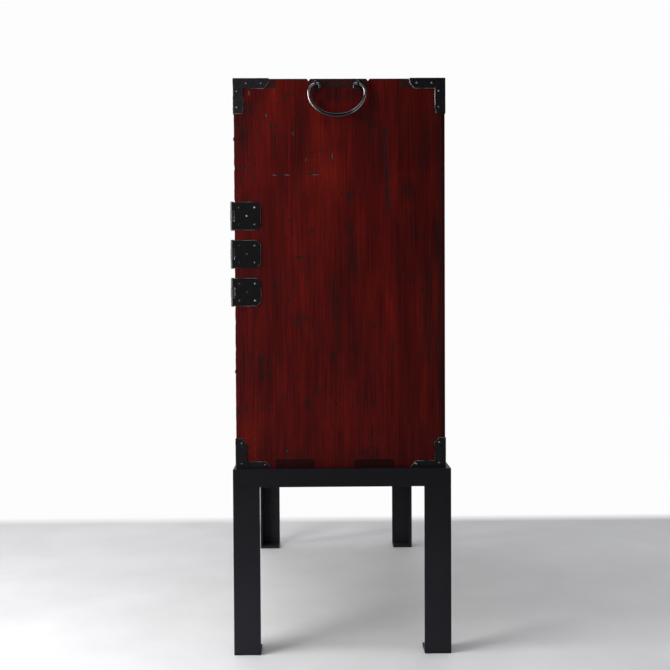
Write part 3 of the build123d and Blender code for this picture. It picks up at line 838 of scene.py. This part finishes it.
softenEdges(door, drawerLook["doorEdge"])
paint(door, lying)
standFor(door, "door_panel")
print("drawers and door")

# flat irons: corners, hinges and lock plates
ironLook = {"edge": 0.0007, "barrelFromX": 0.4475, "barrelToY": -0.2085}
flatIrons = [
    "corner_irons_top_front",
    "corner_irons_top_back",
    "corner_irons_bottom_front",
    "corner_irons_bottom_back",
    "hinge_side_leaves",
    "hinge_door_leaves",
    "hinge_pins",
    "door_lock_plate",
]
flatIrons += [f"{drawer}_lock_plate" for drawer in drawerNames]
for node in flatIrons:
    iron = copyOfNode(node, f"{node}_forged")
    # the top front corner irons get the lighter iron, a painted sheen
    paint(iron, sheenPaintedIron if node == "corner_irons_top_front" else frontIron, rubbedIron)
    if node.startswith("hinge"):
        paint(iron, hingeIron, rubbedHinge, barrelSheenIron)
    softenEdges(iron, ironLook["edge"], edgeSlot=1)
    if node.startswith("hinge"):  # the barrels get a lighter iron all over, a painted sheen for the light they reflect
        for face in iron.data.polygons:
            if face.center.x > ironLook["barrelFromX"] and face.center.y < ironLook["barrelToY"]:
                face.material_index = 2
    standFor(iron, node)
print("irons")

# bails
bailLook = {
    "bar": 0.0028,
    "belly": 0.0044,
    "curlRadius": 0.0052,
    "curlAngle": 140,
    "curlEnd": 0.8,  # thickness of the curl, as shares of the bar's
    "curlMiddle": 0.92,
    "lift": 0.0005,
    "eyeHalf": 0.0025,
    "endGap": 0.0006,
    "smoothness": 12,
    "edge": 0.0006,
    "rubFrom": 0.45,  # share of the way out where hands begin to rub it, and over which they do
    "rubOver": 0.35,
}


def forgeBail(name, spacing, hookRadius, drop):  # hangs from the origin, across X, outward -Y
    bar = bailLook["bar"]
    arm = spacing / 2 - bailLook["eyeHalf"] - bailLook["endGap"] + hookRadius
    bottom = drop - bailLook["belly"]
    bendX = arm - hookRadius
    quarter = 0.5523  # a quarter circle's handle, as a share of its radius
    hookHandle = quarter * hookRadius
    armHandle = quarter * (bottom - hookRadius)
    curl = bailLook["curlRadius"]
    half = radians(bailLook["curlAngle"] / 2)
    curlHandle = 4 / 3 * tan(half / 4) * curl

    def onCurl(angle, along=0.0):
        around = radians(90) + angle
        x = bendX + curl * cos(around) - along * sin(around)
        return x, -curl + curl * sin(around) + along * cos(around)

    def curlKnot(angle, thickness):
        return onCurl(angle), onCurl(angle, curlHandle), onCurl(angle, -curlHandle), thickness

    side = [  # point, handle towards the curl's end, handle towards the belly, thickness
        curlKnot(2 * half, bailLook["curlEnd"]),
        curlKnot(half, bailLook["curlMiddle"]),
        ((bendX, 0), (bendX - curlHandle, 0), (bendX + hookHandle, 0), 1),
        ((arm, -hookRadius), (arm, hookHandle - hookRadius), (arm, -hookRadius - armHandle), 1),
    ]
    middle = ((0, -bottom), (quarter * arm, -bottom), (-quarter * arm, -bottom), bailLook["belly"] / bar)
    other = [((-p[0], p[1]), (-b[0], b[1]), (-a[0], a[1]), r) for p, a, b, r in reversed(side)]
    points = side + [middle] + other

    bpy.ops.object.select_all(action='DESELECT')
    bpy.ops.curve.primitive_bezier_curve_add(location=(0, 0, 0))
    piece = bpy.context.object
    spline = piece.data.splines[0]
    spline.bezier_points.add(len(points) - 2)
    for knot, (place, before, after, thickness) in zip(spline.bezier_points, points):
        knot.handle_left_type = 'FREE'
        knot.handle_right_type = 'FREE'
        knot.co = (place[0], 0, place[1] + bailLook["lift"])
        knot.handle_left = (before[0], 0, before[1] + bailLook["lift"])
        knot.handle_right = (after[0], 0, after[1] + bailLook["lift"])
        knot.radius = thickness
    spline.resolution_u = bailLook["smoothness"]
    piece.data.dimensions = '3D'
    piece.data.bevel_depth = bar
    piece.data.bevel_resolution = 4
    piece.data.use_fill_caps = True
    bpy.ops.object.convert(target='MESH')
    piece = rename(bpy.context.object, name)
    for vertex in piece.data.vertices:  # the belly is taller than it is deep
        depth = abs(vertex.co.y)
        if depth > bar:
            vertex.co.y *= bar / depth
    rubbedAndGlinting = piece.data.attributes.new("rubbedAndGlinting", 'FLOAT', 'POINT')
    for vertex in piece.data.vertices:
        share = (abs(vertex.co.x) / arm - bailLook["rubFrom"]) / bailLook["rubOver"]
        rubbedAndGlinting.data[vertex.index].value = min(1, max(0, share))
    cleanNormals(piece)
    softenEdges(piece, bailLook["edge"], 2, 50)
    return piece


postLook = {
    "standoff": 0.0105,
    "eye": 0.0054,
    "wire": 0.0012,
    "eyeWidth": 0.0024,
    "neck": 0.0026,
    "plate": 0.0016,
    "washer": 0.0095,
    "rim": 0.0022,
    "rimRise": 0.0009,
    "step": 0.003,
    "stepRise": 0.0005,
    "edge": 0.0003,
}


def forgePost():  # eye at the origin, its plate against the wood at +Y
    standoff = postLook["standoff"]
    bpy.ops.object.select_all(action='DESELECT')
    bpy.ops.mesh.primitive_torus_add(
        major_radius=postLook["eye"],
        minor_radius=postLook["wire"],
        major_segments=32,
        minor_segments=12,
        rotation=(0, radians(90), 0),
    )
    eye = bpy.context.object
    applyAll(eye)
    eye.scale = (postLook["eyeWidth"] / postLook["wire"], 1, 1)
    applyAll(eye)
    neckEnd = standoff - postLook["plate"]
    bpy.ops.mesh.primitive_cylinder_add(
        vertices=16,
        radius=postLook["neck"],
        depth=neckEnd - postLook["eye"],
        location=(0, (neckEnd + postLook["eye"]) / 2, 0),
        rotation=(radians(90), 0, 0),
    )
    neck = bpy.context.object
    bpy.ops.mesh.primitive_cylinder_add(
        vertices=32,
        radius=postLook["washer"],
        depth=postLook["plate"],
        location=(0, standoff - postLook["plate"] / 2, 0),
        rotation=(radians(90), 0, 0),
    )
    washer = bpy.context.object
    applyAll(washer)
    selectFaces(washer, lambda normal: normal.y < -facing)
    bpy.ops.mesh.inset(thickness=postLook["rim"])
    bpy.ops.transform.translate(value=(0, -postLook["rimRise"], 0))
    bpy.ops.mesh.inset(thickness=postLook["step"])
    bpy.ops.transform.translate(value=(0, -postLook["stepRise"], 0))
    bpy.ops.object.mode_set(mode='OBJECT')
    post = joinPieces([eye, neck, washer], "post")
    applyAll(post)
    softenEdges(post, postLook["edge"], 2, 50)
    return post


post = forgePost()
bailKinds = {
    "side": {"spacing": 0.085, "hookRadius": 0.017, "drop": 0.0675},
    "drawer": {"spacing": 0.074, "hookRadius": 0.016, "drop": 0.054},
}


def hangBails(kind, node, bails):  # each bail with its two posts
    model = forgeBail(f"{kind}Bail", **bailKinds[kind])
    across = bailKinds[kind]["spacing"] / 2
    posts = []
    for name, turn in bails:
        pivot = Vector(pivots[name])
        bail = placeCopy(model, f"{name}_forged", pivot, (0, 0, turn))
        paint(bail, bailIron)
        standFor(bail, name)
        along = Vector((cos(turn), sin(turn), 0)) * across
        for place in (pivot + along, pivot - along):
            posts.append(placeCopy(post, "post", place, (0, 0, turn)))
    dropModel(model)
    group = joinPieces(posts, f"{node}_forged")
    paint(group, frontIron)
    standFor(group, node)


sideBails = [("side_handle_right", radians(90)), ("side_handle_left", radians(-90))]
hangBails("side", "side_handle_posts", sideBails)
for drawer in drawerNames:
    bails = [(f"{drawer}_bail_left", 0), (f"{drawer}_bail_right", 0)]
    hangBails("drawer", f"{drawer}_bail_posts", bails)
dropModel(post)
print("bails")

# nails
nailLook = {
    "radius": 0.0024,
    "height": 0.0017,
    "cut": 0.0004,  # above the sphere's middle
    "dullBefore": -0.19,
    "dullLow": 0.68,
    "dullHigh": 0.94,
    "dimBefore": -0.17,
    "dimHigh": 0.84,
    "sideDepth": 0.01,
}


def forgeNail():  # a low dome on the origin, pointing up
    bpy.ops.object.select_all(action='DESELECT')
    bpy.ops.mesh.primitive_uv_sphere_add(segments=16, ring_count=12, radius=nailLook["radius"])
    nail = bpy.context.object
    cut = nailLook["cut"]
    bpy.ops.object.mode_set(mode='EDIT')
    bpy.ops.mesh.select_all(action='SELECT')
    bpy.ops.mesh.bisect(plane_co=(0, 0, cut), plane_no=(0, 0, 1), use_fill=True, clear_inner=True)
    bpy.ops.object.mode_set(mode='OBJECT')
    nail.location.z = -cut * nailLook["height"] / nailLook["radius"]
    nail.scale.z = nailLook["height"] / nailLook["radius"]
    applyAll(nail)
    bpy.ops.object.shade_smooth_by_angle(angle=radians(40))
    return nail


nail = forgeNail()
turnTowards = {  # axis and way that a nail points
    (0, 1): (0, radians(90), 0),
    (0, -1): (0, radians(-90), 0),
    (1, 1): (radians(-90), 0, 0),
    (1, -1): (radians(90), 0, 0),
}


def driveNails(node):  # a dome over each small head of the node
    copyOfNode(node, f"{node}_heads")
    bpy.ops.object.mode_set(mode='EDIT')
    bpy.ops.mesh.select_all(action='SELECT')
    bpy.ops.mesh.separate(type='LOOSE')
    bpy.ops.object.mode_set(mode='OBJECT')
    parts = list(bpy.context.selected_objects)
    domes = []
    for part in parts:
        points = [vertex.co for vertex in part.data.vertices]
        low = Vector([min(point[axis] for point in points) for axis in range(3)])
        high = Vector([max(point[axis] for point in points) for axis in range(3)])
        size = high - low
        axis = 0 if size.x < size.y else 1
        middle = (low + high) / 2
        way = 1 if middle[axis] > 0 else -1
        middle[axis] = low[axis] if way > 0 else high[axis]
        domes.append(placeCopy(nail, "nail", middle, turnTowards[(axis, way)]))
    for part in parts:
        bpy.data.objects.remove(part)
    group = joinPieces(domes, f"{node}_domed")
    paint(group, nailIron, dullNail)
    for face in group.data.polygons:  # dull beside the barrels and in the middle of the lower hinges
        x, y, z = face.center
        besideBarrel = y < nailLook["dullBefore"] and z < nailLook["dullHigh"]
        lowerMiddle = y < nailLook["dimBefore"] and z < nailLook["dimHigh"]
        onSide = x > sideX - nailLook["sideDepth"] and z > nailLook["dullLow"]
        dull = onSide and (besideBarrel or lowerMiddle)
        face.material_index = 1 if dull else 0
    standFor(group, node)


driveNails("nails")
driveNails("door_nails")
dropModel(nail)
print("nails")

# door knob
knobLook = {"neck": 0.0036, "head": 0.008, "reach": 0.018, "thick": 0.0075, "overlap": 0.004}
knobLow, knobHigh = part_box("door_knob")
knobPlace = (knobLow + knobHigh) / 2
neckLength = knobLook["reach"] - knobLook["overlap"]
bpy.ops.object.select_all(action='DESELECT')
bpy.ops.mesh.primitive_cylinder_add(
    vertices=24,
    radius=knobLook["neck"],
    depth=neckLength,
    location=(knobPlace.x, knobHigh.y - neckLength / 2, knobPlace.z),
    rotation=(radians(90), 0, 0),
)
knobNeck = bpy.context.object
bpy.ops.mesh.primitive_uv_sphere_add(
    segments=28,
    ring_count=16,
    radius=knobLook["head"],
    location=(knobPlace.x, knobLow.y + knobLook["thick"] / 2, knobPlace.z),
    rotation=(radians(90), 0, 0),
)
knobHead = bpy.context.object
knobHead.scale.z = knobLook["thick"] / 2 / knobLook["head"]
knob = joinPieces([knobNeck, knobHead], "door_knob_turned")
applyAll(knob)
bpy.ops.object.shade_smooth_by_angle(angle=radians(40))
paint(knob, frontIron)
standFor(knob, "door_knob")
print("knob")

# stand
steelEdge = 0.0004
for node in [name for name in nodes if name.startswith("stand_")]:
    angle = copyOfNode(node, f"{node}_steel")
    softenEdges(angle, steelEdge)
    paint(angle, steelPaint)
    standFor(angle, node)
print("stand")

# room
room = {
    "size": 60,
    "drop": 0.0005,
    "floorDark": (0.63, 0.63, 0.635),
    "floorPale": (0.70, 0.70, 0.705),
    "mottle": (4, 6),
    "mottled": (0.35, 0.7),
    "white": (0.98, 0.98, 0.98),
    "wallLine": -0.81,
    "wallSoft": 0.05,
    "fadeStart": 3.0,
    "fadeEnd": 6.0,
}
bpy.ops.object.select_all(action='DESELECT')
bpy.ops.mesh.primitive_plane_add(size=room["size"], location=(0, 0, -room["drop"]))
floor = rename(bpy.context.object, "floor")
applyAll(floor)
floorPaint, floorTree, floorShader = newMaterial("floorPaint", Specular_IOR_Level=0.2, Roughness=0.6)
floorPlace = stretched(floorTree, (1, 1, 1))
mottle = rangeOf(floorTree, noiseOf(floorTree, floorPlace, *room["mottle"]), *room["mottled"])
floorColour = mixColour(floorTree, mottle, room["floorDark"], room["floorPale"])
floorTree.links.new(floorColour, floorShader.inputs["Base Color"])
wallStart = room["wallLine"] + room["wallSoft"]
wallEnd = room["wallLine"] - room["wallSoft"]
behind = rangeOf(floorTree, splitOf(floorTree, floorPlace)["X"], wallStart, wallEnd)
flatPlace = floorTree.nodes.new("ShaderNodeVectorMath")
flatPlace.operation = 'LENGTH'
floorTree.links.new(floorPlace, flatPlace.inputs[0])
faraway = rangeOf(floorTree, flatPlace.outputs["Value"], room["fadeStart"], room["fadeEnd"])
whiteness = mathOf(floorTree, 'MAXIMUM', behind, faraway)
seen = floorTree.nodes.new("ShaderNodeLightPath")
seenAtAll = mathOf(floorTree, 'MAXIMUM', seen.outputs["Is Camera Ray"], seen.outputs["Is Glossy Ray"])
whitePaint = floorTree.nodes.new("ShaderNodeEmission")
whitePaint.inputs["Color"].default_value = (*room["white"], 1)
mixFloor = floorTree.nodes.new("ShaderNodeMixShader")
floorTree.links.new(product(floorTree, whiteness, seenAtAll), mixFloor.inputs[0])
floorTree.links.new(floorShader.outputs["BSDF"], mixFloor.inputs[1])
floorTree.links.new(whitePaint.outputs["Emission"], mixFloor.inputs[2])
floorTree.links.new(mixFloor.outputs["Shader"], floorTree.nodes["Material Output"].inputs["Surface"])
paint(floor, floorPaint)

world = bpy.data.worlds.new("studio")
bpy.context.scene.world = world
world.use_nodes = True
sky = world.node_tree
skyLook = {
    "seen": (0.98, 0.98, 0.985),
    "wallSide": (0.86, 0.87, 0.90),
    "roomSide": (0.10, 0.10, 0.11),
    "towardsRoom": (-0.25, 0.55),
    "awayFromWindow": (-0.1, 0.5, 1.0, 0.6),
}
backdrop = sky.nodes["Background"]
skyPlace = sky.nodes.new("ShaderNodeTexCoord")
skyWay = splitOf(sky, skyPlace.outputs["Generated"])
towardsRoom = rangeOf(sky, skyWay["X"], *skyLook["towardsRoom"])
skyColour = mixColour(sky, towardsRoom, skyLook["wallSide"], skyLook["roomSide"])
awayFromWindow = rangeOf(sky, skyWay["Y"], *skyLook["awayFromWindow"])
skyColour = mixColour(sky, 1.0, skyColour, awayFromWindow, 'MULTIPLY')
sky.links.new(skyColour, backdrop.inputs["Color"])
white = sky.nodes.new("ShaderNodeBackground")
white.inputs["Color"].default_value = (*skyLook["seen"], 1)
skyPath = sky.nodes.new("ShaderNodeLightPath")
skyMix = sky.nodes.new("ShaderNodeMixShader")
sky.links.new(skyPath.outputs["Is Camera Ray"], skyMix.inputs[0])
sky.links.new(backdrop.outputs["Background"], skyMix.inputs[1])
sky.links.new(white.outputs["Background"], skyMix.inputs[2])
sky.links.new(skyMix.outputs["Shader"], sky.nodes["World Output"].inputs["Surface"])

lamps = {
    "window": {"place": (1.05, -1.15, 1.05), "size": (0.7, 1.1), "power": 20},
    "sideWindow": {"place": (0.8, -2.7, 1.15), "size": (0.5, 1.5), "power": 30},
    "overhead": {"place": (0.6, -0.4, 3.2), "size": (2.6, 2.6), "power": 36},
    "farSide": {"place": (0.9, 2.4, 1.5), "size": (0.4, 1.4), "power": 4},
}
target = Vector((0, 0, 0.65))  # every lamp looks here
for name, look in lamps.items():
    bpy.ops.object.light_add(type='AREA', location=look["place"])
    lamp = rename(bpy.context.object, name)
    lamp.data.shape = 'RECTANGLE'
    lamp.data.size, lamp.data.size_y = look["size"]
    lamp.data.energy = look["power"]
    lamp.rotation_euler = (target - Vector(look["place"])).to_track_quat('-Z', 'Y').to_euler()
print("room and lamps")

view = {"place": (2.4849, -0.0347, 0.7101), "turn": (88.213, 0.292, 89.203), "lens": 54.01, "sensor": 36}
bpy.ops.object.camera_add(location=view["place"], rotation=[radians(angle) for angle in view["turn"]])
camera = bpy.context.object
camera.data.lens = view["lens"]
camera.data.sensor_width = view["sensor"]
bpy.context.scene.camera = camera
bpy.context.scene.view_settings.view_transform = 'Standard'

print("all pieces in place")
